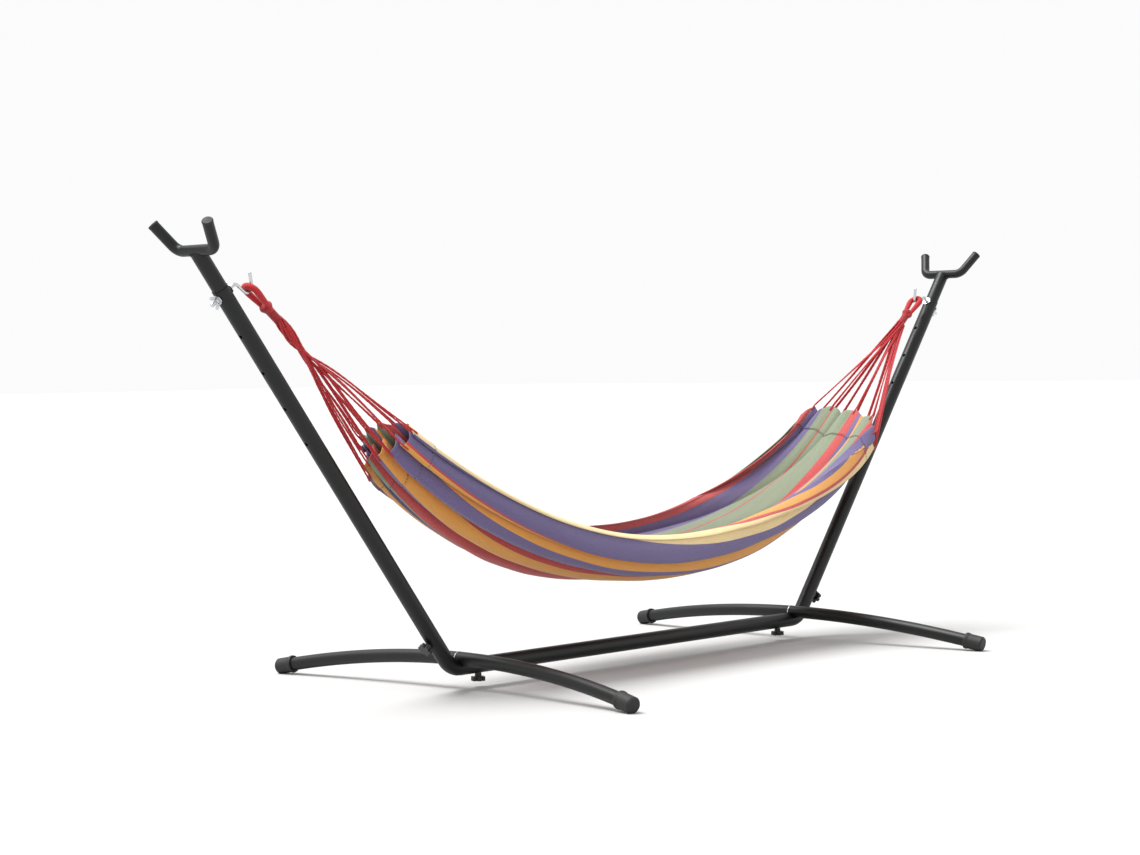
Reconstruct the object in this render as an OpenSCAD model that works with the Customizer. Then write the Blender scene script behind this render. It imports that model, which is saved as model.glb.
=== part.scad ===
// Striped cloth hammock hung between the two leaning posts of a steel tube stand.
// X runs along the hammock, Y across it, Z up. The feet stand on Z = 0.

/* [Stand] */
// Distance from the middle to the corner where a post's axis meets the bar's axis
corner_x = 665; // [620:5:700]
// Height of the centre bar's axis
bar_z = 52; // [50:1:60]
// Lean of each post from upright, in degrees
lean = 37.5; // [34:0.5:40]
// Length along a post's axis from the corner to the fork's cross tube
fork_reach = 1190; // [1120:10:1250]
// Radius of the elbow's bend, at the tube's axis
elbow_bend_r = 60; // [56:1:66]
// Outside diameter of the posts, elbows and centre bar
post_d = 38; // [36:1:42]
// Wall of every tube
wall = 1.5; // [1.2:0.1:2]

/* [Feet] */
// Distance from the middle to a foot's highest point
foot_x = 637; // [630:1:645]
// Height of a foot's highest point, at the tube's axis
foot_top_z = 72.6; // [72:0.2:73.2]
// Length of a foot from end to end of its tube
foot_span = 1120; // [1000:10:1200]
// Rise of a foot's arc, measured in the arc's own leaning plane
foot_rise = 71; // [60:1:74]
// Lean of the arc's plane from upright, in degrees
foot_tilt = 41.7; // [38:0.1:45]
// Outside diameter of the foot tube
foot_d = 32.4; // [30:0.2:34]
// Outside diameter of a rubber foot cap
cap_d = 38.8; // [38:0.2:42]

/* [Fork] */
// Distance from the post's axis to each corner of the fork
fork_half = 60; // [50:1:70]
// Length of each prong, measured along the post
prong_rise = 68; // [50:1:90]
// Outward lean of each prong, in degrees
prong_splay = 22; // [10:1:30]
// Outside diameter of the fork's bent tube
fork_d = 24; // [20:1:26]

/* [Hooks and knobs] */
// Place of the hook's bolt hole, along the post from the corner
hook_t = 1076; // [1060:2:1090]
// Distance between the hook's other holes down the post
hole_step = 98; // [90:1:102]
// Number of spare holes below the hook
spare_holes = 4; // [2:1:5]
// Diameter of the hook's wire and of the knobs' bolts
bolt_d = 8; // [7:0.5:8]
// Diameter of a star knob
knob_d = 34; // [30:1:38]
// Place of the upper knob, along the post from the corner
post_knob_t = 90; // [80:1:110]
// Distance from the middle to the knob under the bar
bar_knob_x = 575; // [560:5:585]

/* [Hammock] */
// Half the length of the cloth bed, along X
bed_half = 850; // [800:10:870]
// Height of the bed's two long edges at the middle
edge_z = 328; // [300:2:350]
// How much higher those edges are at the ends
edge_rise = 245; // [220:5:270]
// Depth of the trough at the middle
trough_depth = 84; // [60:2:110]
// Half the width of the trough at the middle
trough_half = 168; // [140:2:200]
// Thickness that the cloth's loose folds fill at the middle
fold_t = 22; // [16:1:26]
// Number of strings at each end
strings = 12; // [9:3:15]
// Diameter of a string
string_d = 4; // [3:0.5:4.5]

/* [Hidden] */
$fn = 48;

LEFT = true;
RIGHT = false;
FRONT = -1;
BACK = 1;

// Tubes and the sleeves that join them
post_r = post_d / 2;
sleeve_r = post_r - wall - 0.1;
sleeve_out = 90;
sleeve_in = 16;
bar_end_x = corner_x - 50;
post_start = 48;
post_end = hook_t + 16;
stem_start = hook_t - 62;
hole_r = bolt_d / 2 + 0.5;
bend_angle = 90 - lean;
bend_reach = elbow_bend_r * tan(bend_angle / 2);
tube_sides = 28;
elbow_step = 7.5;
cut_past = 3;

// Foot arc: a circle in a plane that leans towards the middle
foot_r = foot_d / 2;
foot_in_r = foot_r - wall;
foot_arc_r = (pow(foot_span / 2, 2) + pow(foot_rise, 2)) / (2 * foot_rise);
foot_end_a = asin(foot_span / 2 / foot_arc_r);
core_r = foot_in_r - 0.2;
core_a = 3.2;
collar_half = 1.2;
collar_a = asin(collar_half / foot_arc_r);
cap_r = cap_d / 2;
cap_grip = 34;
cap_end = 15;
cap_gap = 0.4;
cap_rim = 1.8;

seat_cut_r = post_r + 0.6;

// Fork
fork_r = fork_d / 2;
fork_bend_r = 27;
plug_depth = 16;
fork_bend_steps = 7;
stem_gap = 0.02;
plug_gap = 0.1;
plug_rim = 0.4;
plug_edge_h = 2.5;
plug_dome_h = 5.5;

// Knobs, bolts and nuts
bolt_r = bolt_d / 2;
thread_gap = 0.06;
knob_start = post_r + 0.3;
knob_boss_r = 8;
knob_boss_h = 8;
knob_h = 10;
lobe_r = 5.5;
nut_af = 13;
nut_h = 6.5;
nut_top = 13.6;
bolt_tip = nut_top - nut_h - 2;
bolt_in_knob = 12;

// Hook, in the plane Y = 0: a shank square to the post, a hump, a seat and a tip
washer_t = 1.6;
washer_r = 11;
bolt_out = 22;
bolt_chamfer = 0.8;
hook_flange_r = 7;
hook_flange_t = 3;
hook_sides = 16;
hook_step = 12;
hook_start = post_r + 12;
wing_hub_r = 7;
wing_hub_h = 7;
wing_t = 3;
hump_r = 12;
hump_turn = 72.5;
hook_drop = 20;
seat_r = 14;
seat_turn = 135;
hook_tip = 24;
shank_a = 180 - lean;
drop_a = shank_a + hump_turn;
tip_a = drop_a - seat_turn;

// Angle below level at which the strings pull on the hook's seat
pull_a = 40;
eye_r = 8;
eye_neck_r = 5;
eye_gap = bolt_r + eye_r + 1;
eye_loop_r = 16.5;
eye_taper = 8;
eye_leg = 62;
neck_start = 58;
neck_end = 100;
neck_r = 10;

function along(a, d) = [d * cos(a), 0, d * sin(a)];
function left_of(a, d) = along(a + 90, d);
function post_at(t, out = 0) =
    [corner_x, 0, bar_z] + t * [sin(lean), 0, cos(lean)] + out * [cos(lean), 0, -sin(lean)];

shank_end = post_at(hook_t, -hook_start);
hump_c = shank_end + left_of(shank_a, hump_r);
hump_end = hump_c - left_of(drop_a, hump_r);
drop_end = hump_end + along(drop_a, hook_drop);
seat_c = drop_end - left_of(drop_a, seat_r);
seat_end = seat_c + left_of(tip_a, seat_r);
seat = seat_c + along(180 + pull_a, seat_r);

// ---- shapes used by several pieces ----

module side(is_left) {
    if (is_left) mirror([1, 0, 0]) children();
    else children();
}

// Z runs up the right post from its corner and X points out of its outer side
module on_post(t = 0) {
    translate(post_at(t)) rotate([0, lean, 0]) children();
}

// Z runs along +X, from the middle of the bar
module on_bar(x = 0) {
    translate([x, 0, bar_z]) rotate([0, 90, 0]) children();
}

// The foot's arc becomes a circle about Z, with its highest point on X
module on_foot() {
    translate([foot_x, 0, foot_top_z])
        rotate([0, -90 - foot_tilt, 0]) translate([-foot_arc_r, 0, 0]) children();
}

module arc_rod(r, bend_r, from, turn) {
    rotate([0, 0, from]) rotate_extrude(angle = turn) translate([bend_r, 0]) circle(r);
}

module pipe(h, r, r_in) {
    difference() {
        cylinder(h = h, r = r);
        translate([0, 0, -1]) cylinder(h = h + 2, r = r_in);
    }
}

function arc_points(c, r, from, to, step) =
    let (n = ceil(abs(to - from) / step))
    [for (i = [0 : n]) c + along(from + (to - from) * i / n, r)];

// A round bar of flat faces swept along points, with one radius or a radius for each point.
// Its rings stay square to the side direction.
module swept_tube(path, r, side_dir, sides = 8) {
    n = len(path);
    rings = [for (i = [0 : n - 1])
        let (ahead = path[min(i + 1, n - 1)] - path[max(i - 1, 0)],
             t = ahead / norm(ahead),
             square = side_dir - t * (side_dir * t),
             u = square / norm(square),
             w = cross(t, u),
             ring_r = is_num(r) ? r : r[i])
        each [for (k = [0 : sides - 1])
            path[i] + ring_r * (cos(360 * k / sides) * u + sin(360 * k / sides) * w)]];
    polyhedron(
        points = rings,
        faces = concat(
            [[for (k = [0 : sides - 1]) k]],
            [for (i = [0 : n - 2]) for (k = [0 : sides - 1])
                let (a = i * sides, next = (k + 1) % sides)
                [a + k, a + sides + k, a + sides + next, a + next]],
            [[for (k = [sides - 1 : -1 : 0]) (n - 1) * sides + k]]));
}

// ---- stand ----

module centre_bar() color("black") {
    difference() {
        on_bar(-bar_end_x) pipe(2 * bar_end_x, post_r, post_r - wall);
        for (s = [-1, 1]) translate([s * bar_knob_x, 0, bar_z - 2 * post_r])
            cylinder(h = 2 * post_r, r = hole_r);
    }
}

function elbow_path(extra) =
    concat([[bar_end_x - extra, 0, bar_z]],
           arc_points([corner_x - bend_reach, 0, bar_z + elbow_bend_r], elbow_bend_r,
                      -90, bend_angle - 90, elbow_step),
           [post_at(post_start + extra)]);

// Short bent tube between the bar's end and the post's foot
module elbow(is_left) color("black") side(is_left) difference() {
    swept_tube(elbow_path(0), post_r, [0, 1, 0], tube_sides);
    swept_tube(elbow_path(cut_past), post_r - wall, [0, 1, 0], tube_sides);
}

// Sleeves pressed into the elbow's two ends, which the bar and the post slide over
module bar_sleeve(is_left) color("silver") side(is_left) difference() {
    on_bar(bar_end_x - sleeve_out) pipe(sleeve_out + sleeve_in, sleeve_r, sleeve_r - wall);
    translate([bar_knob_x, 0, bar_z - 2 * post_r]) cylinder(h = 2 * post_r, r = hole_r);
}

module post_sleeve(is_left) color("silver") side(is_left) difference() {
    on_post(post_start - sleeve_in) pipe(sleeve_out + sleeve_in, sleeve_r, sleeve_r - wall);
    on_post(post_knob_t) rotate([0, 90, 0]) cylinder(h = 2 * post_r, r = hole_r);
}

module post(is_left) color("black") side(is_left) difference() {
    on_post(post_start) pipe(post_end - post_start, post_r, post_r - wall);
    on_post(post_knob_t) rotate([0, 90, 0]) cylinder(h = 2 * post_r, r = hole_r);
    for (k = [0 : spare_holes]) on_post(hook_t - k * hole_step)
        rotate([0, 90, 0]) cylinder(h = 4 * post_r, r = hole_r, center = true);
}

// Half of the bent tube's centreline, from the middle to a tip: Y across, Z up the post
function prong_path(extra) =
    let (turn = 90 - prong_splay,
         corner = fork_bend_r * tan(turn / 2),
         length = prong_rise / cos(prong_splay) + extra)
    concat([for (k = [0 : fork_bend_steps]) let (a = turn * k / fork_bend_steps - 90)
                [0, fork_half - corner + fork_bend_r * cos(a), fork_bend_r * (1 + sin(a))]],
           [[0, fork_half + length * sin(prong_splay), length * cos(prong_splay)]]);

function fork_path(extra) =
    let (half = prong_path(extra), n = len(half))
    concat([for (i = [n - 1 : -1 : 0]) [0, -half[i][1], half[i][2]]], half);

module fork_tube() {
    difference() {
        swept_tube(fork_path(0), fork_r, [1, 0, 0], tube_sides);
        swept_tube(fork_path(cut_past), fork_r - wall, [1, 0, 0], tube_sides);
    }
}

// The stem's closed end is cut to the round of the bent tube, and welded to it
module fork(is_left) color("black") side(is_left) on_post() {
    translate([0, 0, fork_reach]) fork_tube();
    difference() {
        translate([0, 0, stem_start]) cylinder(h = fork_reach - stem_start - 3, r = sleeve_r);
        translate([0, 0, stem_start - 5]) cylinder(h = fork_reach - fork_r - stem_start, r = sleeve_r - wall);
        translate([0, 0, fork_reach]) rotate([90, 0, 0])
            cylinder(h = 4 * fork_r, r = fork_r + stem_gap, center = true);
        translate([0, 0, hook_t]) rotate([0, 90, 0]) cylinder(h = 4 * post_r, r = hole_r, center = true);
    }
}

module fork_plug(is_left, where) color("dimgray") side(is_left) on_post(fork_reach)
    scale([1, where, 1])
    translate([0, fork_half + prong_rise * tan(prong_splay), prong_rise])
        rotate([-prong_splay, 0, 0]) rotate_extrude()
            polygon([[0, -plug_depth], [fork_r - wall - plug_gap, -plug_depth],
                     [fork_r - wall - plug_gap, 0], [fork_r + plug_rim, 0],
                     [fork_r + plug_rim, plug_edge_h], [fork_r - 1, plug_dome_h - 1], [0, plug_dome_h]]);

// What is cut from a foot so that it seats on the elbow's inner side
module elbow_seat() {
    swept_tube(elbow_path(cut_past), seat_cut_r, [0, 1, 0], tube_sides);
}

module foot_tube(is_left, where) color("black") side(is_left) difference() {
    on_foot() scale([1, where, 1]) arc_rod(foot_r, foot_arc_r, collar_a, foot_end_a - collar_a);
    on_foot() scale([1, where, 1]) arc_rod(foot_in_r, foot_arc_r, collar_a - 1, foot_end_a + 1);
    elbow_seat();
}

// Bare steel sleeve inside the two halves, with the collar they meet at
module foot_core(is_left) color("silver") side(is_left) difference() {
    on_foot() {
        arc_rod(core_r, foot_arc_r, -core_a, 2 * core_a);
        rotate([90, 0, 0]) translate([foot_arc_r, 0, 0])
            cylinder(h = 2 * collar_half - 0.1, r = foot_r + 0.8, center = true);
    }
    on_foot() arc_rod(core_r - 2, foot_arc_r, -core_a - 1, 2 * core_a + 2);
    elbow_seat();
}

// Rubber cap with a thick rim, cut flat where it stands
module foot_cap(is_left, where) color([0.12, 0.12, 0.12]) side(is_left) difference() {
    on_foot() scale([1, where, 1]) rotate([0, 0, foot_end_a]) translate([foot_arc_r, 0, 0])
        rotate([-90, 0, 0]) rotate_extrude() polygon(
            [[foot_r + cap_gap, -cap_grip], [cap_r + 1, -cap_grip], [cap_r + cap_rim, -cap_grip + 3],
             [cap_r + cap_rim, -cap_grip + 6], [cap_r + cap_gap, -cap_grip + 10],
             [cap_r, -cap_grip + 14], [cap_r, cap_end - 4], [cap_r - 3, cap_end],
             [0, cap_end], [0, cap_gap / 2], [foot_r + cap_gap, cap_gap / 2]]);
    translate([foot_x - 300, -foot_span, -100]) cube([600, 2 * foot_span, 100]);
}

// ---- knobs, bolts and nuts: Z points away from the tube's axis ----

module star_knob() {
    difference() {
        union() {
            translate([0, 0, knob_start]) cylinder(h = knob_boss_h + 1, r = knob_boss_r);
            translate([0, 0, knob_start + knob_boss_h]) linear_extrude(knob_h) {
                circle(knob_d / 2 - lobe_r);
                for (k = [0 : 5]) rotate(60 * k) translate([knob_d / 2 - lobe_r, 0]) circle(lobe_r);
            }
        }
        translate([0, 0, post_r - 1]) cylinder(h = bolt_in_knob + 1, r = bolt_r);
    }
}

module knob_bolt() {
    translate([0, 0, bolt_tip]) cylinder(h = post_r + bolt_in_knob - bolt_tip, r = bolt_r);
}

module weld_nut() {
    difference() {
        translate([0, 0, nut_top - nut_h]) cylinder(h = nut_h, r = nut_af / 2 / cos(30), $fn = 6);
        translate([0, 0, -1]) cylinder(h = nut_top + 2, r = bolt_r + thread_gap);
    }
}

module at_post_knob(is_left) side(is_left) on_post(post_knob_t) rotate([0, 90, 0]) children();
module at_bar_knob(is_left) side(is_left) translate([bar_knob_x, 0, bar_z]) rotate([180, 0, 0]) children();

// ---- hooks: local X points out of the post's outer side ----

// The hook's centreline from its bolt's end to its rounded tip, each point with its radius
function hook_line() =
    let (flange = -post_r - washer_t,
         bolt = [[post_r + bolt_out, bolt_r - bolt_chamfer], [post_r + bolt_out - bolt_chamfer, bolt_r],
                 [flange, bolt_r], [flange, hook_flange_r],
                 [flange - hook_flange_t, hook_flange_r], [flange - hook_flange_t, bolt_r]],
         bends = concat(arc_points(hump_c, hump_r, shank_a - 90, drop_a - 90, hook_step),
                        arc_points(seat_c, seat_r, drop_a + 90, tip_a + 90, hook_step)))
    concat([for (p = bolt) [post_at(hook_t, p[0]), p[1]]],
           [for (p = bends) [p, bolt_r]],
           [for (a = [0 : 25 : 75]) [seat_end + along(tip_a, hook_tip + bolt_r * sin(a)), bolt_r * cos(a)]]);

module hook(is_left) color("silver") side(is_left)
    swept_tube([for (p = hook_line()) p[0]], [for (p = hook_line()) p[1]], [0, 1, 0], hook_sides);

module hook_washer(is_left, out) color("silver") side(is_left) on_post(hook_t)
    rotate([0, 90, 0]) translate([0, 0, out]) pipe(washer_t, washer_r, bolt_r + 0.4);

module wing_nut(is_left) color("silver") side(is_left) on_post(hook_t) rotate([0, 90, 0])
    translate([0, 0, post_r + washer_t + 0.1]) difference() {
        union() {
            cylinder(h = wing_hub_h, r = wing_hub_r);
            for (k = [0, 180]) rotate([90, 0, k]) linear_extrude(wing_t, center = true)
                polygon([[0, 0.5], [8, 0.5], [14, 6], [16, 12], [13, 15], [9, 13], [6, 6], [0, 6]]);
        }
        translate([0, 0, -1]) cylinder(h = 3 * wing_hub_h, r = bolt_r + thread_gap);
    }

// ---- hammock ----

// 0 in the middle of the bed and 1 at its ends, steeper towards the ends
function near_end(s, power) = pow(min(abs(s), 1), power);
function mix(a, b, f) = a + (b - a) * f;

// The two ends are gathered differently: the left one is bunched and hangs on its side
left_half = 62;
right_half = 122;
left_roll = -40;
right_roll = 24;
end_bulge = 0.07;
end_depth = 14;
end_fold_t = 40;

function bed_half_width(s) = mix(trough_half, s < 0 ? left_half : right_half, near_end(s, 2.6));
function bed_depth(s) = mix(trough_depth + 14 * near_end(s, 1), end_depth, near_end(s, 5));
function bed_fold(s) = mix(fold_t, end_fold_t, near_end(s, 4));
function bed_roll(s) = mix(8, s < 0 ? left_roll : right_roll, near_end(s, 3));

// A point of the bed: s from -1 (left) to 1 (right), v from -1 (front) to 1 (back),
// out = 1 on the outside of the folds and -1 on the inside
function bed_point(s, v, out) =
    let (reach = s * (1 + end_bulge * (1 - v * v) * near_end(s, 6)),
         t = bed_fold(s) / 2 * out)
    [bed_half * reach,
     (bed_half_width(s) + t) * sin(90 * v),
     edge_z + edge_rise * reach * reach + bed_roll(s) * v - (bed_depth(s) + t) * cos(90 * v)];

bed_stations = 32;
bed_across = 16;

module hammock_bed() color("goldenrod") {
    rings = [for (i = [-bed_stations / 2 : bed_stations / 2]) i / (bed_stations / 2)];
    n = 2 * (bed_across + 1);
    points = [for (s = rings) each concat(
        [for (j = [0 : bed_across]) bed_point(s, 2 * j / bed_across - 1, 1)],
        [for (j = [bed_across : -1 : 0]) bed_point(s, 2 * j / bed_across - 1, -1)])];
    last = (len(rings) - 1) * n;
    polyhedron(
        points = points,
        faces = concat(
            [for (j = [0 : bed_across - 1]) [j + 1, j, n - 1 - j, n - 2 - j]],
            [for (i = [0 : len(rings) - 2]) for (j = [0 : n - 1])
                each let (a = i * n + j, b = i * n + (j + 1) % n) [[a, b, a + n], [b, b + n, a + n]]],
            [for (j = [0 : bed_across - 1])
                [last + j, last + j + 1, last + n - 2 - j, last + n - 1 - j]]));
}

// Local Z runs from the hook's seat up through the eye's crown, against the strings' pull
module on_eye() {
    translate(seat) rotate([0, 90 - pull_a, 0]) children();
}

function eye_point(y, z) = seat + along(pull_a, z) + [0, y, 0];

// Centreline of the eye: down one leg's length, round the crown, and back
function eye_path() =
    let (crown_z = eye_gap - eye_loop_r,
         leg = eye_leg * [-sin(eye_taper), -cos(eye_taper)],
         arc = [for (a = [-eye_taper : (180 + 2 * eye_taper) / 16 : 180 + eye_taper + 0.1])
                eye_loop_r * [cos(a), sin(a)] + [0, crown_z]])
    concat([arc[0] + leg], arc, [arc[len(arc) - 1] + [-leg[0], leg[1]]]);

// The eye is thick round its crown, and its legs thin out towards the neck
module eye(is_left) color("crimson") side(is_left) on_eye() {
    path = [for (p = eye_path()) [0, p[0], p[1]]];
    last = len(path) - 1;
    swept_tube(path, [for (i = [0 : last]) i == 0 || i == last ? eye_neck_r : eye_r], [1, 0, 0], 12);
}

module whipping(is_left) color("darkred") side(is_left) on_eye() translate([0, 0, -neck_end])
    rotate_extrude() polygon(
        [[0, 0], [neck_r - 1, 0], [neck_r, 3], [neck_r, neck_end - neck_start],
         [neck_r + 5, neck_end - neck_start + 6], [neck_r + 4, neck_end - neck_start + 12],
         [0, neck_end - neck_start + 12]]);

// The strings leave the whipping in three layers and end along the bed's hem
string_gap = 4.6;
hem_share = 0.93;
hem_inset = 6;

module end_strings(is_left) color("crimson") {
    sx = is_left ? -1 : 1;
    for (k = [0 : strings - 1]) {
        v = hem_share * (2 * k / (strings - 1) - 1);
        column = floor(k / 3) - (strings / 3 - 1) / 2;
        start = eye_point(column * string_gap, -neck_end) + left_of(pull_a, (k % 3 - 1) * string_gap);
        hem = (bed_point(sx, v, 1) + bed_point(sx, v, -1)) / 2 - [hem_inset * sx, 0, 0];
        swept_tube([[sx * start[0], start[1], start[2]], hem], string_d / 2, [0, 0, 1]);
    }
}

centre_bar();

elbow(LEFT);  // left_elbow
bar_sleeve(LEFT);  // left_bar_sleeve
post_sleeve(LEFT);  // left_post_sleeve
post(LEFT);  // left_post
fork(LEFT);  // left_fork
fork_plug(LEFT, FRONT);  // left_plug_front
fork_plug(LEFT, BACK);  // left_plug_back
foot_tube(LEFT, FRONT);  // left_foot_front
foot_tube(LEFT, BACK);  // left_foot_back
foot_core(LEFT);  // left_foot_core
foot_cap(LEFT, FRONT);  // left_cap_front
foot_cap(LEFT, BACK);  // left_cap_back
color("black") at_post_knob(LEFT) star_knob();  // left_post_knob
color("silver") at_post_knob(LEFT) knob_bolt();  // left_post_bolt
color("silver") at_post_knob(LEFT) weld_nut();  // left_post_nut
color("black") at_bar_knob(LEFT) star_knob();  // left_bar_knob
color("silver") at_bar_knob(LEFT) knob_bolt();  // left_bar_bolt
color("silver") at_bar_knob(LEFT) weld_nut();  // left_bar_nut
hook(LEFT);  // left_hook
hook_washer(LEFT, -post_r - washer_t);  // left_inner_washer
hook_washer(LEFT, post_r);  // left_outer_washer
wing_nut(LEFT);  // left_wing_nut

elbow(RIGHT);  // right_elbow
bar_sleeve(RIGHT);  // right_bar_sleeve
post_sleeve(RIGHT);  // right_post_sleeve
post(RIGHT);  // right_post
fork(RIGHT);  // right_fork
fork_plug(RIGHT, FRONT);  // right_plug_front
fork_plug(RIGHT, BACK);  // right_plug_back
foot_tube(RIGHT, FRONT);  // right_foot_front
foot_tube(RIGHT, BACK);  // right_foot_back
foot_core(RIGHT);  // right_foot_core
foot_cap(RIGHT, FRONT);  // right_cap_front
foot_cap(RIGHT, BACK);  // right_cap_back
color("black") at_post_knob(RIGHT) star_knob();  // right_post_knob
color("silver") at_post_knob(RIGHT) knob_bolt();  // right_post_bolt
color("silver") at_post_knob(RIGHT) weld_nut();  // right_post_nut
color("black") at_bar_knob(RIGHT) star_knob();  // right_bar_knob
color("silver") at_bar_knob(RIGHT) knob_bolt();  // right_bar_bolt
color("silver") at_bar_knob(RIGHT) weld_nut();  // right_bar_nut
hook(RIGHT);  // right_hook
hook_washer(RIGHT, -post_r - washer_t);  // right_inner_washer
hook_washer(RIGHT, post_r);  // right_outer_washer
wing_nut(RIGHT);  // right_wing_nut

hammock_bed();
end_strings(LEFT);  // left_strings
whipping(LEFT);  // left_whipping
eye(LEFT);  // left_eye
end_strings(RIGHT);  // right_strings
whipping(RIGHT);  // right_whipping
eye(RIGHT);  // right_eye
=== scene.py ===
"""Looks of a striped cloth hammock on its black steel stand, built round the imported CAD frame.

X runs along the hammock, Y across it with the camera on the -Y side, Z up, in metres.
"""

import math

import bpy
import numpy as np
from mathutils import Matrix, Vector


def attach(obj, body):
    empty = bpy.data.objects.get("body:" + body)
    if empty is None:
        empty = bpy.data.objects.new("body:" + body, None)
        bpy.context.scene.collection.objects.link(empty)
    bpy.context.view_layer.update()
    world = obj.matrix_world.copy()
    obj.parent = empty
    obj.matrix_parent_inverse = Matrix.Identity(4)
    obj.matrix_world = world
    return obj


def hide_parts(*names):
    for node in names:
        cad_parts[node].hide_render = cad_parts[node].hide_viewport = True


MM = 0.001
TURN = 2 * math.pi
SIDES = {"left": -1, "right": 1}

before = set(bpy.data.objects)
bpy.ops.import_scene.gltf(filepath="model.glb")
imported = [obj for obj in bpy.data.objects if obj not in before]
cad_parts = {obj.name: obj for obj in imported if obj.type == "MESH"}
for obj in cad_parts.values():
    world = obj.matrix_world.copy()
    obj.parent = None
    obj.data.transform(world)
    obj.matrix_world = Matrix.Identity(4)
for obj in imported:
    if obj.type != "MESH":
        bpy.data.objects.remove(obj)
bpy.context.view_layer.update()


# ---- camera, at the photograph's angle ----

CAMERA_TARGET = Vector((-0.244, 0.0, 0.5957))
CAMERA_DISTANCE = 5.863
CAMERA_AZIMUTH = math.radians(-47.85)
CAMERA_ELEVATION = math.radians(1.53)
CAMERA_ROLL = math.radians(-0.782)
CAMERA_LENS = 76.25
CAMERA_SENSOR = 36.0


def make_camera():
    data = bpy.data.cameras.new("camera")
    data.lens = CAMERA_LENS
    data.sensor_width = CAMERA_SENSOR
    data.sensor_fit = "HORIZONTAL"
    camera = bpy.data.objects.new("camera", data)
    bpy.context.scene.collection.objects.link(camera)
    level = Vector((math.cos(CAMERA_AZIMUTH), math.sin(CAMERA_AZIMUTH), 0))
    back = Vector(
        (
            math.sin(CAMERA_AZIMUTH) * math.cos(CAMERA_ELEVATION),
            -math.cos(CAMERA_AZIMUTH) * math.cos(CAMERA_ELEVATION),
            math.sin(CAMERA_ELEVATION),
        )
    )
    upright = back.cross(level)
    right = level * math.cos(CAMERA_ROLL) + upright * math.sin(CAMERA_ROLL)
    up = back.cross(right)
    turn = Matrix((right, up, back)).transposed().to_4x4()
    camera.matrix_world = Matrix.Translation(CAMERA_TARGET + back * CAMERA_DISTANCE) @ turn
    bpy.context.scene.camera = camera


# ---- materials ----


def rgb(code):
    """The linear colour of a display colour such as "E03030"."""
    parts = [int(code[i : i + 2], 16) / 255 for i in (0, 2, 4)]
    line = [c / 12.92 if c <= 0.04045 else ((c + 0.055) / 1.055) ** 2.4 for c in parts]
    return (*line, 1.0)


def add(tree, kind, inputs=None, **settings):
    """Adds a node, sets its properties, and sets or links its inputs."""
    node = tree.nodes.new(kind)
    for name, value in settings.items():
        setattr(node, name, value)
    for name, value in (inputs or {}).items():
        if isinstance(value, bpy.types.NodeSocket):
            tree.links.new(value, node.inputs[name])
        else:
            node.inputs[name].default_value = value
    return node


MIX_FACTOR, MIX_A, MIX_B, MIX_RESULT = 0, 6, 7, 2


def mixed(tree, factor, a, b, blend="MIX"):
    """A colour mixed from a and b."""
    node = add(
        tree,
        "ShaderNodeMix",
        {MIX_FACTOR: factor, MIX_A: a, MIX_B: b},
        data_type="RGBA",
        blend_type=blend,
    )
    return node.outputs[MIX_RESULT]


def ranged(tree, value, low, high):
    """Value from 0 to 1 mapped to low to high."""
    node = add(tree, "ShaderNodeMapRange", {"Value": value, "To Min": low, "To Max": high})
    return node.outputs["Result"]


def noise(tree, vector, scale, detail=3.0):
    inputs = {"Vector": vector, "Scale": scale, "Detail": detail}
    return add(tree, "ShaderNodeTexNoise", inputs).outputs["Fac"]


def bump(tree, height, distance, strength=1.0):
    inputs = {"Height": height, "Distance": distance, "Strength": strength}
    return add(tree, "ShaderNodeBump", inputs).outputs["Normal"]


def new_material(name, **sockets):
    """A Principled material with its fixed sockets set; returns it, its tree and its shader."""
    material = bpy.data.materials.new(name)
    material.use_nodes = True
    tree = material.node_tree
    shader = tree.nodes["Principled BSDF"]
    for socket, value in sockets.items():
        shader.inputs[socket.replace("_", " ")].default_value = value
    return material, tree, shader


def surface(name, dark, light, rough, patch_scale, grain_scale, grain_depth, **sockets):
    """A material mottled between two colours, with its roughness varied and a fine grain."""
    material, tree, shader = new_material(name, **sockets)
    place = add(tree, "ShaderNodeTexCoord").outputs["Object"]
    patches = noise(tree, place, patch_scale)
    grain = noise(tree, place, grain_scale, 2.0)
    tree.links.new(mixed(tree, patches, rgb(dark), rgb(light)), shader.inputs["Base Color"])
    tree.links.new(ranged(tree, patches, *rough), shader.inputs["Roughness"])
    tree.links.new(bump(tree, grain, grain_depth), shader.inputs["Normal"])
    return material


# The cloth's stripes from its outer edge to its inner one: dye, and width in thousandths. The stripe
# on the rim is the yellow one painted pale, a painted highlight as if lit from above
STRIPES = [
    ("green", 30),
    ("purple", 45),
    ("red", 45),
    ("yellow", 30),
    ("purple", 45),
    ("green", 25),
    ("red", 50),
    ("purple", 30),
    ("yellow", 45),
    ("red", 25),
    ("purple", 55),
    ("yellow", 42),
    ("red", 6),
    ("purple", 55),
    # The yellow stripe on the rim, painted pale as if lit from above: a painted highlight
    ("yellow_painted_lit", 50),
    ("red", 6),
    ("yellow", 14),
    ("purple", 47),
    ("red", 55),
    ("green", 45),
    ("yellow", 10),
    ("purple", 17),
    ("red", 28),
    ("green", 65),
    ("red", 5),
    ("green", 30),
    ("purple", 55),
    ("red", 45),
]
DYES = {
    "green": "6E7C60",
    "red": "B00E18",
    "purple": "51427C",
    "yellow": "D48C1C",
    # Pale yellow for the rim stripe: a painted highlight, the yellow as if lit from above
    "yellow_painted_lit": "DEC288",
}
YARN = 1.6 * MM
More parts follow.
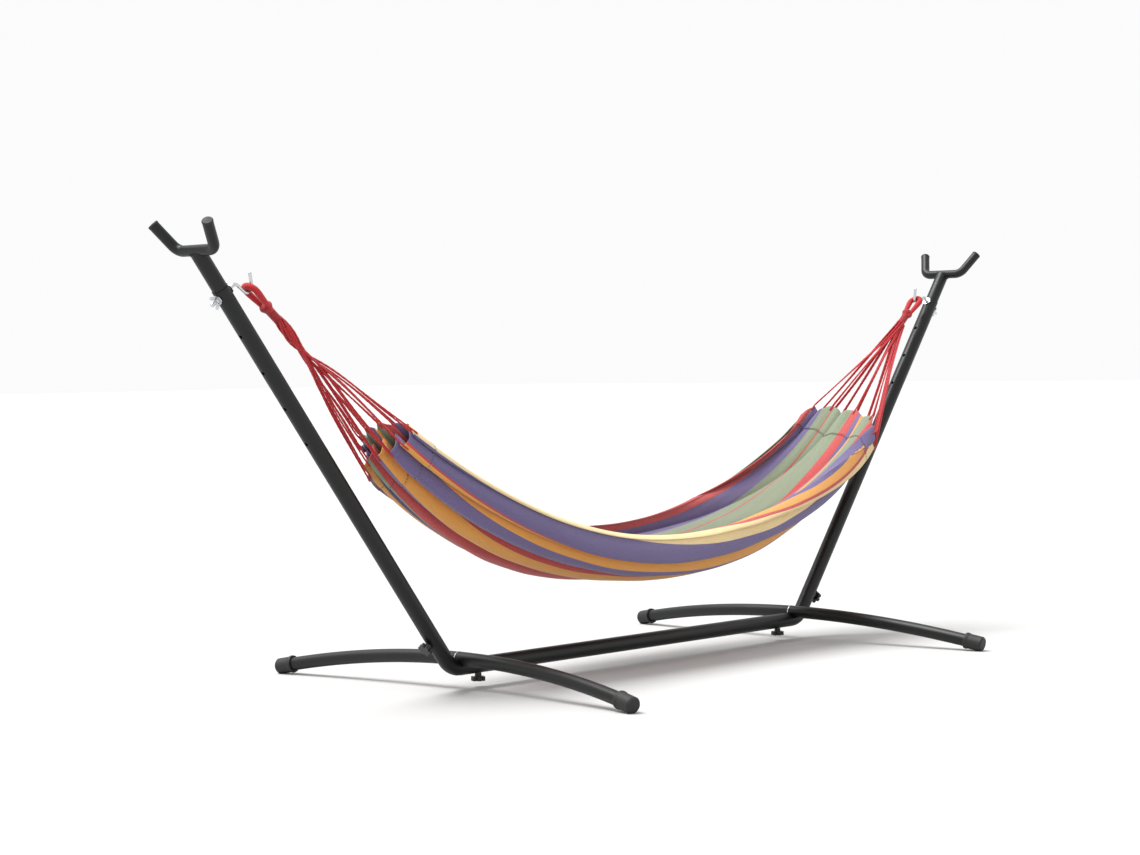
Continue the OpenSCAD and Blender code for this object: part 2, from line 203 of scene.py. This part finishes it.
# The scale at which the bands of a wave texture stand one metre apart
WAVE_SCALE = TURN / 20
STREAKS = (900, 30, 1)
STREAK_TONES = (0.72, 1.18)
SLUB_SCALE = 260.0
SLUB_SHARE = 0.12
WEAVE_DEPTH = 0.4 * MM
STRAND_SCALE = (9, 900, 1)
STRAND_LEAN = 0.6
STRAND_DEPTH = 0.3 * MM
WORN_SCALE = 25.0
WORN_SHARE = 0.25


def cloth_material():
    """Stripes woven from spun cotton, read from the cloth's UVs, which are in metres."""
    material, tree, shader = new_material(
        "striped_cotton", Roughness=0.9, Sheen_Weight=0.25, Sheen_Roughness=0.5
    )
    place = add(tree, "ShaderNodeUVMap").outputs["UV"]
    across = add(tree, "ShaderNodeSeparateXYZ", {"Vector": place}).outputs["X"]
    share = add(tree, "ShaderNodeMath", {0: across, 1: CLOTH_WIDTH}, operation="DIVIDE")
    ramp = add(tree, "ShaderNodeValToRGB", {"Fac": share.outputs[0]})
    stops = ramp.color_ramp
    stops.interpolation = "CONSTANT"
    total = sum(width for _, width in STRIPES)
    start = 0.0
    for i, (dye, width) in enumerate(STRIPES):
        stop = stops.elements[i] if i < 2 else stops.elements.new(start / total)
        stop.position = start / total
        stop.color = rgb(DYES[dye])
        start += width
    streaky = add(tree, "ShaderNodeMapping", {"Vector": place, "Scale": STREAKS})
    streaks = noise(tree, streaky.outputs["Vector"], 1.0, 4.0)
    tones = ranged(tree, streaks, *STREAK_TONES)
    shade = add(tree, "ShaderNodeCombineColor", {0: tones, 1: tones, 2: tones})
    colour = mixed(tree, 1.0, ramp.outputs["Color"], shade.outputs[0], "MULTIPLY")
    slubs = noise(tree, place, SLUB_SCALE, 2.0)
    colour = mixed(tree, ranged(tree, slubs, 0.0, SLUB_SHARE), colour, rgb("F4E8DC"))
    tree.links.new(colour, shader.inputs["Base Color"])
    bands = []
    for direction in ("X", "Y"):
        inputs = {"Vector": place, "Scale": WAVE_SCALE / YARN, "Distortion": 0.4}
        wave = add(tree, "ShaderNodeTexWave", inputs, bands_direction=direction)
        bands.append(wave.outputs["Fac"])
    weave = add(tree, "ShaderNodeMath", {0: bands[0], 1: bands[1]}, operation="MULTIPLY")
    height = add(tree, "ShaderNodeMath", {0: weave.outputs[0], 1: streaks}, operation="ADD")
    tree.links.new(bump(tree, height.outputs[0], WEAVE_DEPTH), shader.inputs["Normal"])
    return material


def rope_material(name, dark, light):
    """Twisted cord, read from a tube's UVs: turns round it, and metres along it. Its colour follows
    the strands' bump, so the grooves carry painted shade.
    """
    material, tree, shader = new_material(name, Roughness=0.75, Sheen_Weight=0.2)
    place = add(tree, "ShaderNodeUVMap").outputs["UV"]
    fibre = add(tree, "ShaderNodeMapping", {"Vector": place, "Scale": STRAND_SCALE})
    fibre.inputs["Rotation"].default_value = (0, 0, STRAND_LEAN)
    strands_and_groove_shade = noise(tree, fibre.outputs["Vector"], 1.0, 3.0)
    worn = noise(tree, place, WORN_SCALE, 2.0)
    # Dark in the grooves between strands and light on their tops, following the same bump: painted
    # shade
    colour = mixed(tree, strands_and_groove_shade, rgb(dark), rgb(light))
    colour = mixed(tree, ranged(tree, worn, 0.0, WORN_SHARE), colour, rgb(dark))
    tree.links.new(colour, shader.inputs["Base Color"])
    tree.links.new(bump(tree, strands_and_groove_shade, STRAND_DEPTH), shader.inputs["Normal"])
    return material


# ---- meshes ----


def piece(name, points, faces, corners, material, body="hammock"):
    """A smooth mesh piece on a body; corners holds each face corner's UV."""
    mesh = bpy.data.meshes.new(name)
    mesh.from_pydata(points.tolist(), [], faces)
    layer = mesh.uv_layers.new(name="UVMap")
    layer.data.foreach_set("uv", np.ascontiguousarray(corners, np.float32).ravel())
    mesh.polygons.foreach_set("use_smooth", [True] * len(mesh.polygons))
    mesh.materials.append(material)
    mesh.validate()
    obj = bpy.data.objects.new(name, mesh)
    bpy.context.scene.collection.objects.link(obj)
    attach(obj, body)
    return obj


def quads(rows, columns, wrap_rows=False, wrap_columns=False):
    """Faces of a grid of points, with the row and column of each corner before wrapping."""
    last_row = rows if wrap_rows else rows - 1
    last_column = columns if wrap_columns else columns - 1
    i, j = np.meshgrid(np.arange(last_row), np.arange(last_column), indexing="ij")
    row = np.stack([i, i, i + 1, i + 1], -1).reshape(-1, 4)
    column = np.stack([j, j + 1, j + 1, j], -1).reshape(-1, 4)
    return (row % rows) * columns + column % columns, row, column


def unit(v):
    return v / np.maximum(np.linalg.norm(v, axis=-1, keepdims=True), 1e-12)


def metres_along(path):
    """How far along a path each of its points lies."""
    return np.concatenate([[0], np.cumsum(np.linalg.norm(np.diff(path, axis=0), axis=1))])


def frames_along(path, closed=False):
    """Two directions square to a path at each of its points, turning as little as they can."""
    if closed:
        ahead = unit(np.roll(path, -1, 0) - np.roll(path, 1, 0))
    else:
        ahead = unit(np.gradient(path, axis=0))
    first = np.array([0.0, 0.0, 1.0]) if abs(ahead[0, 2]) < 0.9 else np.array([1.0, 0, 0])
    u = np.zeros_like(path)
    side = first
    for i, t in enumerate(ahead):
        side = unit(side - t * side.dot(t))
        u[i] = side
    return u, np.cross(ahead, u)


class Tubes:
    """Round tubes swept along paths, gathered into one mesh."""

    def __init__(self, sides):
        self.sides = sides
        self.points = []
        self.faces = []
        self.corners = []
        self.count = 0

    def add(self, path, radius, closed=False):
        """radius is a number, or a function of metres along and radians round the tube."""
        u, w = frames_along(path, closed)
        along = metres_along(path)
        angle = TURN * np.arange(self.sides) / self.sides
        far, around = np.meshgrid(along, angle, indexing="ij")
        r = radius(far, around) if callable(radius) else np.full(far.shape, radius)
        ring = u[:, None] * np.cos(around)[..., None] + w[:, None] * np.sin(around)[..., None]
        points = path[:, None] + ring * r[..., None]
        rows = len(path)
        faces, row, column = quads(rows, self.sides, closed, True)
        length = np.append(along, along[-1])
        self.corners.append(np.stack([column / self.sides, length[row]], -1).reshape(-1, 2))
        self.faces += (faces + self.count).tolist()
        if not closed:
            start = list(range(self.sides - 1, -1, -1))
            end = [(rows - 1) * self.sides + k for k in range(self.sides)]
            for cap, far_along in ((start, 0.0), (end, along[-1])):
                self.faces.append([k + self.count for k in cap])
                self.corners.append(
                    np.stack([np.linspace(0, 1, self.sides), np.full(self.sides, far_along)], -1)
                )
        self.points.append(points.reshape(-1, 3))
        self.count += rows * self.sides

    def piece(self, name, material, slot, body="hammock"):
        points = np.concatenate(self.points)
        corners = np.concatenate(self.corners)
        return piece(name, points, self.faces, corners, material, body)


def spaced(path, step):
    """The same path with points a step apart."""
    far = metres_along(path)
    places = np.linspace(0, far[-1], max(int(far[-1] / step), 3))
    return np.stack([np.interp(places, far, path[:, k]) for k in range(3)], -1)


# ---- the cloth's shape: a sheet folded along its near rim and gathered at both ends ----

CLOTH_WIDTH = 1.0
CLOTH_LENGTH = 1.9
BED_HALF = 850 * MM
EDGE_Z = 328 * MM
EDGE_RISE = 245 * MM

# Half the trough's width, its depth, and how far it rolls towards its near side
TROUGH_HALF = 148 * MM
LEFT_HALF = 60 * MM
RIGHT_HALF = 114 * MM
TROUGH_DEPTH = 74 * MM
EXTRA_DEPTH = 14 * MM
END_DEPTH = 14 * MM
MIDDLE_ROLL = 8 * MM
LEFT_ROLL = -40 * MM
RIGHT_ROLL = 24 * MM
WALL_LEAN = 0.35
END_BULGE = 0.07

# Half the space between the outer layer and the inner one, and how high the pleats stand
LAYER_GAP = 18 * MM
PLEAT = 19 * MM
PLEATS = 12
FOLDS = 11
FOLD_START = -0.05
RIDGE_ROUND = 0.22
VALLEY_SOFT = 0.001
DROOP = 0.8

# Share of the width at which the sheet folds over, and the share of the length where that moves
RIM_LEFT = 0.556
RIM_RIGHT = 0.615
RIM_TURNS = -0.2
RIM_SOFT = 0.045
RIM_TUCK = 0.9

CREASE = 1.3 * MM
SCALLOP = 11 * MM
SCALLOP_START = 0.9

# A measure changes from the middle to an end by the distance to this power: high powers change late
HALF_POWER = 2.6
DEEPEN_POWER = 1
DEPTH_POWER = 5
ROLL_POWER = 3
FOLD_POWER = 2.5
BULGE_POWER = 6


def near_end(s, power):
    """0 in the middle of the cloth and 1 at an end."""
    return np.minimum(np.abs(s), 1) ** power


def mix(a, b, f):
    return a + (b - a) * f


def smooth(f):
    f = np.clip(f, 0, 1)
    return f * f * (3 - 2 * f)


def fold_phase(u, s):
    """Counts the pleats from the outer edge: even at the hems, fewer and looser between them."""
    wander = 0.12 * np.sin(TURN * (1.7 * u + 0.13)) + 0.16 * np.sin(2.6 * s + 5 * u)
    loose = FOLD_START + FOLDS * u + wander
    return mix(loose, PLEATS * u, near_end(s, FOLD_POWER))


def pleat_height(u, s):
    """Below 0 in a sharp valley, and near 1 on a round ridge. Some ridges are lower."""
    wave = np.sin(math.pi * fold_phase(u, s)) ** 2
    ridge = 2 * (wave + VALLEY_SOFT) ** RIDGE_ROUND - 1
    uneven = 0.84 + 0.16 * np.sin(TURN * (2.3 * u + 0.8 * s + 0.2))
    return ridge * uneven


def creases(u, s):
    """Fine drag lines that run out from the hems, and slack ones across the middle."""
    fine = np.sin(TURN * (31 * u + 0.6 * np.sin(5 * s))) * np.sin(TURN * (1.4 * u + 1.1 * s))
    slack = np.sin(TURN * (9 * u + 3.5 * s + 0.5 * np.sin(7 * u + 3 * s)))
    return fine * near_end(s, 2) + 0.8 * slack * np.sin(4 * s + 6 * u) * (1 - near_end(s, 3))


def cloth(u, s):
    """The cloth's place at u, 0 at its outer edge and 1 at its inner one, and s, -1 to 1.

    The outer layer lies under the trough and the inner one in it. v runs across the trough from
    the near side, at -1, to the far side, at 1.
    """
    u, s = np.broadcast_arrays(np.asarray(u, float), np.asarray(s, float))
    is_left = s < 0
    half = mix(TROUGH_HALF, np.where(is_left, LEFT_HALF, RIGHT_HALF), near_end(s, HALF_POWER))
    deepest = TROUGH_DEPTH + EXTRA_DEPTH * near_end(s, DEEPEN_POWER)
    depth = mix(deepest, END_DEPTH, near_end(s, DEPTH_POWER))
    roll = mix(MIDDLE_ROLL, np.where(is_left, LEFT_ROLL, RIGHT_ROLL), near_end(s, ROLL_POWER))
    rim = mix(RIM_LEFT, RIM_RIGHT, smooth((s - RIM_TURNS) / (1 - RIM_TURNS)))
    layer = np.where(u < rim, (u - rim) / rim, (u - rim) / (1 - rim))
    bend = np.sqrt(layer**2 + RIM_SOFT**2)
    v = -1 + 2 * (bend - RIM_SOFT) / (math.sqrt(1 + RIM_SOFT**2) - RIM_SOFT)
    out = -layer / bend
    angle = v * math.pi / 2
    reach = s * (1 + END_BULGE * (1 - v * v) * near_end(s, BULGE_POWER))
    tangent = np.stack(
        [half * (np.cos(angle) + WALL_LEAN), depth * np.sin(angle) + roll * 2 / math.pi], -1
    )
    tangent = unit(tangent)
    normal = np.stack([tangent[..., 1], -tangent[..., 0]], -1)
    stand = out * (LAYER_GAP + PLEAT * pleat_height(u, s)) + CREASE * creases(u, s)
    rim_round = -LAYER_GAP * np.sqrt(np.maximum(1 - out**2, 0)) * RIM_TUCK
    shift = normal * stand[..., None] + tangent * rim_round[..., None]
    hang = DROOP * PLEAT * (1 + pleat_height(u, s)) / 2
    at_hem = smooth((np.abs(s) - SCALLOP_START) / (1 - SCALLOP_START))
    pucker = SCALLOP * at_hem * np.cos(math.pi * PLEATS * u) ** 2
    x = BED_HALF * reach - np.sign(s) * pucker
    y = half * np.sin(angle) + shift[..., 0]
    trough = EDGE_Z + EDGE_RISE * reach**2 + roll * v - depth * np.cos(angle)
    z = trough + shift[..., 1] - hang
    return np.stack([x, y, z], -1)


def cloth_normal(u, s):
    step = 1e-3
    du = cloth(u + step, s) - cloth(u - step, s)
    ds = cloth(u, s + step) - cloth(u, s - step)
    return unit(np.cross(du, ds))


def cloth_piece(name, u_range, s_range, counts, thickness, material):
    """A part of the cloth as its own piece, with a thickness."""
    u = np.linspace(*u_range, counts[0])
    s = np.linspace(*s_range, counts[1])
    grid_s, grid_u = np.meshgrid(s, u, indexing="ij")
    faces, row, column = quads(len(s), len(u))
    corners = np.stack([u[column] * CLOTH_WIDTH, s[row] * CLOTH_LENGTH / 2], -1)
    points = cloth(grid_u, grid_s).reshape(-1, 3)
    obj = piece(name, points, faces.tolist(), corners.reshape(-1, 2), material)
    solid = obj.modifiers.new("thickness", "SOLIDIFY")
    solid.thickness = thickness
    solid.offset = 0
    return obj


CLOTH_THICK = 1.2 * MM
HEM_THICK = 3.4 * MM
END_HEM = 62 * MM
EDGE_HEM = 12 * MM
CLOTH_STEPS = (380, 190)
END_HEM_STEPS = (380, 12)
EDGE_HEM_STEPS = (6, 230)
STITCH = 5 * MM
STITCH_PITCH = 8 * MM
THREAD_R = 0.6 * MM
THREAD_INSET = 0.003
SEAM_POINTS = 600


def stitches(thread, u, s):
    """Dashes of thread on both faces of the cloth, along the line through u and s."""
    line = cloth(u, s)
    far = metres_along(line)
    starts = np.arange(0, far[-1] - STITCH, STITCH_PITCH)
    along = starts[:, None] + np.linspace(0, STITCH, 4)[None, :]
    dash_u = np.interp(along, far, u)
    dash_s = np.interp(along, far, s)
    place = cloth(dash_u, dash_s)
    normal = cloth_normal(dash_u, dash_s)
    arch = (HEM_THICK / 2 + THREAD_R * np.array([-0.8, 0.7, 0.7, -0.8]))[None, :, None]
    for face in (-1, 1):
        for dash in place + face * normal * arch:
            thread.add(dash, THREAD_R)


def make_cloth(cotton, thread_material):
    bed = cloth_piece("cloth_bed", (0, 1), (-1, 1), CLOTH_STEPS, CLOTH_THICK, cotton)
    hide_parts("hammock_bed")
    end = 1 - END_HEM / (CLOTH_LENGTH / 2)
    side = EDGE_HEM / CLOTH_WIDTH
    hems = [
        cloth_piece("left_end_hem", (0, 1), (-1, -end), END_HEM_STEPS, HEM_THICK, cotton),
        cloth_piece("right_end_hem", (0, 1), (end, 1), END_HEM_STEPS, HEM_THICK, cotton),
        cloth_piece("outer_edge_hem", (0, side), (-end, end), EDGE_HEM_STEPS, HEM_THICK, cotton),
        cloth_piece("inner_edge_hem", (1 - side, 1), (-end, end), EDGE_HEM_STEPS, HEM_THICK, cotton),
    ]
    thread = Tubes(5)
    across = np.linspace(0.004, 0.996, SEAM_POINTS)
    length = np.linspace(-end, end, SEAM_POINTS)
    for s in (-end - THREAD_INSET, end + THREAD_INSET):
        stitches(thread, across, np.full(SEAM_POINTS, s))
    for u in (side - THREAD_INSET, 1 - side + THREAD_INSET):
        stitches(thread, np.full(SEAM_POINTS, u), length)
    seams = thread.piece("seam_thread", thread_material, "cloth")


# ---- eyes, whippings and strings ----

SEAT_X = 1246.108 * MM
SEAT_Z = 915.827 * MM
PULL = math.radians(40)
EYE_LOOP_R = 16.5 * MM
EYE_CROWN = 13 * MM
EYE_LEG = 62 * MM
EYE_TAPER = math.radians(8)
EYE_R = 7.2 * MM
EYE_NECK_R = 5 * MM
SERVING = 3.4 * MM
NECK_TOP = 46 * MM
NECK_END = 100 * MM
NECK_R = 10 * MM
NECK_BULGE = 5 * MM
BULGE_AT = 0.16
BULGE_SPREAD = 0.14
TURN_HEIGHT = 0.9 * MM

STRINGS = 12
STRING_R = 2 * MM
STRAND_PITCH = 16 * MM
HOLE_INSET = 8 * MM
BUNDLE_STEP = 5.8 * MM
ROUTE_POINTS = 34
STRING_STEP = 2.2 * MM
GATE = 10 * MM
LOOP_REACH = 4 * MM
GOLDEN_SHARE = 0.618


def on_eye(side, across, up, out=0.0):
    """A place near an eye: up its axis from the hook's seat, across it in Y, and out from it."""
    sign = SIDES[side]
    seat = np.array([sign * SEAT_X, 0.0, SEAT_Z])
    axis = np.array([sign * math.cos(PULL), 0, math.sin(PULL)])
    square = np.array([-sign * math.sin(PULL), 0, math.cos(PULL)])
    return (
        seat
        + np.multiply.outer(up, axis)
        + np.multiply.outer(across, [0.0, 1.0, 0.0])
        + np.multiply.outer(out, square)
    )


def make_eye(side, rope):
    """A loop of strings served over with cord, its legs brought together at the neck."""
    crown = EYE_CROWN - EYE_LOOP_R
    angle = np.linspace(-EYE_TAPER, math.pi + EYE_TAPER, 40)
    across = EYE_LOOP_R * np.cos(angle)
    up = crown + EYE_LOOP_R * np.sin(angle)
    leg = EYE_LEG * np.array([math.sin(EYE_TAPER), math.cos(EYE_TAPER)])
    across = np.concatenate([[across[0] - leg[0]], across, [across[-1] + leg[0]]])
    up = np.concatenate([[up[0] - leg[1]], up, [up[-1] - leg[1]]])
    path = spaced(on_eye(side, across, up, np.zeros(len(up))), SERVING / 5)
    whole = np.linalg.norm(np.diff(path, axis=0), axis=1).sum()

    def radius(far, around):
        thick = mix(EYE_NECK_R, EYE_R, smooth(np.minimum(far, whole - far) / EYE_LEG))
        return thick * (0.93 + 0.13 * np.abs(np.sin(math.pi * far / SERVING + around / 2)))

    tube = Tubes(20)
    tube.add(path, radius)
    eye = tube.piece(f"{side}_wrapped_eye", rope, "rope")
    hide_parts(f"{side}_eye")


def make_whipping(side, rope):
    """Turns of cord that bind the eye's legs and the strings together."""
    up = -np.linspace(NECK_TOP, NECK_END, 110)
    path = on_eye(side, np.zeros(len(up)), up, np.zeros(len(up)))
    length = NECK_END - NECK_TOP

    def radius(far, around):
        share = far / length
        bulge = NECK_BULGE * np.exp(-(((share - BULGE_AT) / BULGE_SPREAD) ** 2))
        ends = np.minimum(1, np.minimum(share, 1 - share) / 0.04) ** 0.5
        turns = TURN_HEIGHT * np.abs(np.sin(math.pi * far / (0.9 * SERVING) + around / 2))
        return ends * (NECK_R - 0.8 * MM + bulge + turns) + 2 * MM * (1 - ends)

    tube = Tubes(24)
    tube.add(path, radius)
    whipping = tube.piece(f"{side}_whipping_turns", rope, "whipping_cord")
    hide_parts(f"{side}_whipping")


def bundle_places(count):
    """Places for strings packed side by side in a round bundle, from its middle outwards."""
    k = np.arange(count) + 0.5
    radius = BUNDLE_STEP * 0.52 * np.sqrt(k * 1.15)
    angle = k * math.pi * (3 - math.sqrt(5))
    return np.stack([radius * np.cos(angle), radius * np.sin(angle)], -1)


def ordered(places, targets):
    """Gives each target the place that lies most nearly in its own direction."""
    chosen = np.full(len(targets), -1)
    free = set(range(len(places)))
    far_first = np.argsort(-np.linalg.norm(targets - targets.mean(0), axis=1))
    for k in far_first:
        aim = unit(targets[k] - targets.mean(0))
        best = max(free, key=lambda i: places[i].dot(aim))
        chosen[k] = best
        free.discard(best)
    return places[chosen]


# How far down the bundle a string leaves it, at least and at most, and the bundle's turns
LEAVES = {"left": (0.05, 0.34), "right": (0.0, 0.14)}
TWIST = {"left": 0.9, "right": 0.25}
LEAVING_CURVE = 0.02


def string_route(side, start, hole, bundle, order):
    """One strand from the whipping to its hole in the hem; order, 0 to 1, is when it leaves."""
    t = np.linspace(0, 1, ROUTE_POINTS)[:, None]
    leaves = mix(*LEAVES[side], order)
    past = (t - leaves) / (1 - leaves)
    first = (-leaves / (1 - leaves) + math.sqrt((leaves / (1 - leaves)) ** 2 + LEAVING_CURVE)) / 2
    last = (1 + math.sqrt(1 + LEAVING_CURVE)) / 2
    fan = ((past + np.sqrt(past**2 + LEAVING_CURVE)) / 2 - first) / (last - first)
    turn = TWIST[side] * TURN * (1 - t[:, 0]) ** 2
    axis_u, axis_w, bottom, top = bundle
    offset = (1 - fan) * start[None, :]
    spun = np.stack(
        [
            offset[:, 0] * np.cos(turn) - offset[:, 1] * np.sin(turn),
            offset[:, 0] * np.sin(turn) + offset[:, 1] * np.cos(turn),
        ],
        -1,
    )
    centre = top + (bottom - top) * t
    wide = (hole - bottom) * fan
    return centre + wide + spun[:, :1] * axis_u + spun[:, 1:] * axis_w


def make_strings(side, rope):
    sign = SIDES[side]
    top = on_eye(side, 0.0, -NECK_END + 3 * MM)
    hole_u = (np.arange(STRINGS) + 0.5) / STRINGS
    inset = 1 - HOLE_INSET / (CLOTH_LENGTH / 2)
    edge = cloth(hole_u, np.full(STRINGS, float(sign)))
    hole = cloth(hole_u, np.full(STRINGS, sign * inset))
    normal = cloth_normal(hole_u, np.full(STRINGS, sign * inset))
    bottom = edge.mean(0)
    along = unit(bottom - top)
    axis_u = unit(np.cross(along, [0.0, 0, 1.0]))
    axis_w = np.cross(axis_u, along)
    flat = np.stack([(edge - bottom).dot(axis_u), (edge - bottom).dot(axis_w)], -1)
    starts = ordered(bundle_places(STRINGS), flat)
    beside = np.array([STRING_R, 0.0])
    cords = []
    for k in range(STRINGS):
        lift = (HEM_THICK / 2 + STRING_R) * normal[k]
        outward = unit(edge[k] - hole[k])
        gate = edge[k] + outward * GATE
        bundle = (axis_u, axis_w, bottom, top)
        order = (k * GOLDEN_SHARE) % 1
        down = string_route(side, starts[k] + beside, gate + lift * 0.8, bundle, order)
        back = string_route(side, starts[k] - beside, gate - lift * 0.8, bundle, order)
        loop = np.array(
            [
                hole[k] + lift + outward * LOOP_REACH,
                hole[k] + lift * 0.8 - outward * STRING_R * 0.5,
                hole[k] - outward * STRING_R * 1.5,
                hole[k] - lift * 0.8 - outward * STRING_R * 0.5,
                hole[k] - lift + outward * LOOP_REACH,
            ]
        )
        route = np.concatenate([down, loop, back[::-1]])
        cords.append(make_string(f"{side}_string_{k + 1:02d}", route, rope))
    for cord in cords:
        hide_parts(f"{side}_strings")


def make_string(name, route, rope):
    path = spaced(rounded(route), STRING_STEP)
    tube = Tubes(10)
    tube.add(
        path,
        lambda far, around: STRING_R
        * (1 + 0.1 * np.cos(3 * around + TURN * far / STRAND_PITCH)),
    )
    cord = tube.piece(name, rope, "rope")
    return cord


def rounded(route):
    """The route with its corners cut twice."""
    for _ in range(2):
        near = route[:-1] * 0.75 + route[1:] * 0.25
        far = route[:-1] * 0.25 + route[1:] * 0.75
        middle = np.stack([near, far], 1).reshape(-1, 3)
        route = np.concatenate([route[:1], middle, route[-1:]])
    return route


# ---- floor and light ----

FLOOR_HALF = 60.0
SKY_STRENGTH = 0.97
OVERHEAD_STRENGTH = 4.4
OVERHEAD_SPREAD = math.radians(35)
OVERHEAD_FROM = Vector((-0.25, 0.3, 0.9))


def make_studio():
    mesh = bpy.data.meshes.new("floor")
    ends = [(-FLOOR_HALF, -FLOOR_HALF), (FLOOR_HALF, -FLOOR_HALF)]
    ends += [(FLOOR_HALF, FLOOR_HALF), (-FLOOR_HALF, FLOOR_HALF)]
    mesh.from_pydata([(x, y, 0) for x, y in ends], [], [(0, 1, 2, 3)])
    mesh.materials.append(
        surface("pale_floor", "B9B9B8", "BCBCBB", (0.8, 0.9), 2.0, 60.0, 0.1 * MM)
    )
    floor = bpy.data.objects.new("floor", mesh)
    bpy.context.scene.collection.objects.link(floor)
    world = bpy.data.worlds.new("studio")
    world.use_nodes = True
    sky = world.node_tree.nodes["Background"]
    sky.inputs["Color"].default_value = (1, 1, 1, 1)
    sky.inputs["Strength"].default_value = SKY_STRENGTH
    bpy.context.scene.world = world
    bpy.context.scene.view_settings.view_transform = "Standard"
    data = bpy.data.lights.new("overhead", "SUN")
    data.energy = OVERHEAD_STRENGTH
    data.angle = OVERHEAD_SPREAD
    overhead = bpy.data.objects.new("overhead", data)
    overhead.rotation_euler = OVERHEAD_FROM.to_track_quat("Z", "Y").to_euler()
    bpy.context.scene.collection.objects.link(overhead)


# ---- the stand: better materials, and welds ----

LEAN = math.radians(37.5)
CORNER_X = 665 * MM
BAR_Z = 52 * MM
FORK_REACH = 1190 * MM
STEM_R = 17.4 * MM
FORK_R = 12 * MM
WELD_R = 2.2 * MM
WELD_DROP = 3 * MM
WELD_RIPPLE = 3.1 * MM
WELD_STEP = 1.2 * MM


def on_post(side, local):
    """Places given in the post's own axes: outwards, across, and along it from its corner."""
    local = np.asarray(local, float)
    x = local[..., 0] * math.cos(LEAN) + local[..., 2] * math.sin(LEAN)
    z = -local[..., 0] * math.sin(LEAN) + local[..., 2] * math.cos(LEAN)
    sign = SIDES[side]
    return np.stack([sign * (CORNER_X + x), local[..., 1], BAR_Z + z], -1)


def make_weld(side, paint):
    """The bead where the fork's stem meets its bent tube."""
    half = math.sqrt(FORK_R**2 - WELD_DROP**2)
    x = np.linspace(-half, half, 24)
    y = np.sqrt(STEM_R**2 - x**2)
    z = FORK_REACH - np.sqrt(FORK_R**2 - x**2)
    loop = np.concatenate([np.stack([x, y, z], -1), np.stack([x, -y, z], -1)[::-1]])
    path = spaced(on_post(side, np.concatenate([loop, loop[:1]])), WELD_STEP)[:-1]
    bead = Tubes(10)
    bead.add(
        path,
        lambda far, around: WELD_R * (1 + 0.16 * np.sin(TURN * far / WELD_RIPPLE)),
        closed=True,
    )
    bead.piece(f"{side}_fork_weld", paint, "powder_coat", "stand")


CAD_FINISHES = {
    "paint": ["centre_bar", "elbow", "post", "fork", "foot_front", "foot_back"],
    "zinc": [
        "bar_sleeve",
        "post_sleeve",
        "foot_core",
        "post_bolt",
        "post_nut",
        "bar_bolt",
        "bar_nut",
        "hook",
        "inner_washer",
        "outer_washer",
        "wing_nut",
    ],
    "rubber": ["cap_front", "cap_back", "plug_front", "plug_back"],
    "plastic": ["post_knob", "bar_knob"],
}


def finish_cad(materials):
    """Gives each shown CAD node its procedural finish."""
    for finish, nodes in CAD_FINISHES.items():
        for node in nodes:
            for name in (node, f"left_{node}", f"right_{node}"):
                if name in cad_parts:
                    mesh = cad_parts[name].data
                    mesh.materials.clear()
                    mesh.materials.append(materials[finish])


make_camera()
make_studio()
paint = surface(
    "black_powder_coat",
    "050606",
    "0D0F10",
    (0.36, 0.48),
    18.0,
    1400.0,
    0.12 * MM,
    Specular_IOR_Level=0.35,
)
zinc = surface(
    "bright_zinc", "B9BCC0", "DADCDE", (0.2, 0.36), 160.0, 900.0, 0.03 * MM, Metallic=1.0
)
rubber = surface("black_rubber", "0D0D0D", "191919", (0.55, 0.7), 40.0, 1200.0, 0.15 * MM)
plastic = surface("black_plastic", "101112", "1A1B1C", (0.35, 0.5), 60.0, 1000.0, 0.1 * MM)
finish_cad({"paint": paint, "zinc": zinc, "rubber": rubber, "plastic": plastic})
cotton = cloth_material()
seam_thread = surface(
    "seam_thread", "14161C", "2A2C36", (0.7, 0.85), 200.0, 2000.0, 0.1 * MM, Sheen_Weight=0.2
)
red_rope = rope_material("red_rope", "8C0812", "CE1422")
# The whipping's cord is the same red cord painted darker: painted shade at the eye's neck
shaded_red_rope = rope_material("red_cord_painted_shade", "74060E", "B0101C")
make_cloth(cotton, seam_thread)
for side in SIDES:
    make_eye(side, red_rope)
    make_whipping(side, shaded_red_rope)
    make_strings(side, red_rope)
    make_weld(side, paint)
